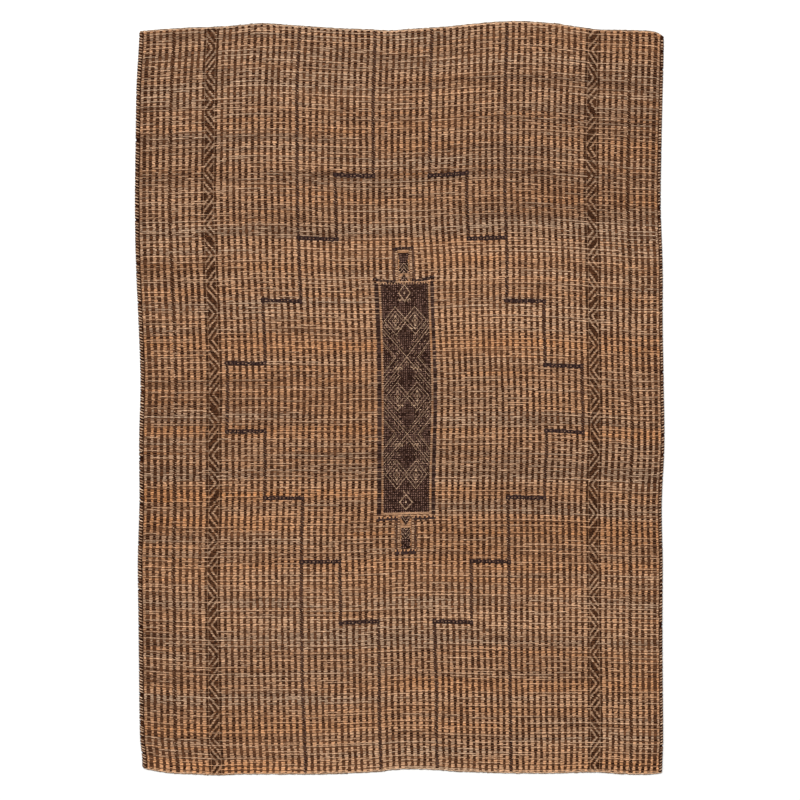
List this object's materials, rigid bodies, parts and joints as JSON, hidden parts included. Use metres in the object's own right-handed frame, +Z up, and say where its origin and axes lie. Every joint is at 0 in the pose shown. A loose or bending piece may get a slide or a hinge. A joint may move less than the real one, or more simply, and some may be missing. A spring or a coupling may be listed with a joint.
{
  "type": "jute rug",
  "caption": "Flat-woven rectangular jute rug with raised ribs along its length, slightly wavy ends and overcast cords on its two long edges.",
  "frame": {"origin": "on the floor, under the middle of the rug's reach", "axes": "+X across the rug, +Y along it to the end with the deeper waves, +Z up out of the woven face"},
  "size_m": [1.6148, 2.3024, 0.0096],
  "materials": {
    "jute_weave": "matte, coarse tan and dark brown jute yarn, woven in ribs",
    "cord_wrap": "matte, dark brown and tan jute yarn wrapped round the edge"
  },
  "bodies": {
    "root": {"rug_cloth": "jute_weave", "edge_cord_left": "cord_wrap", "edge_cord_right": "cord_wrap"}
  },
  "joints": []
}
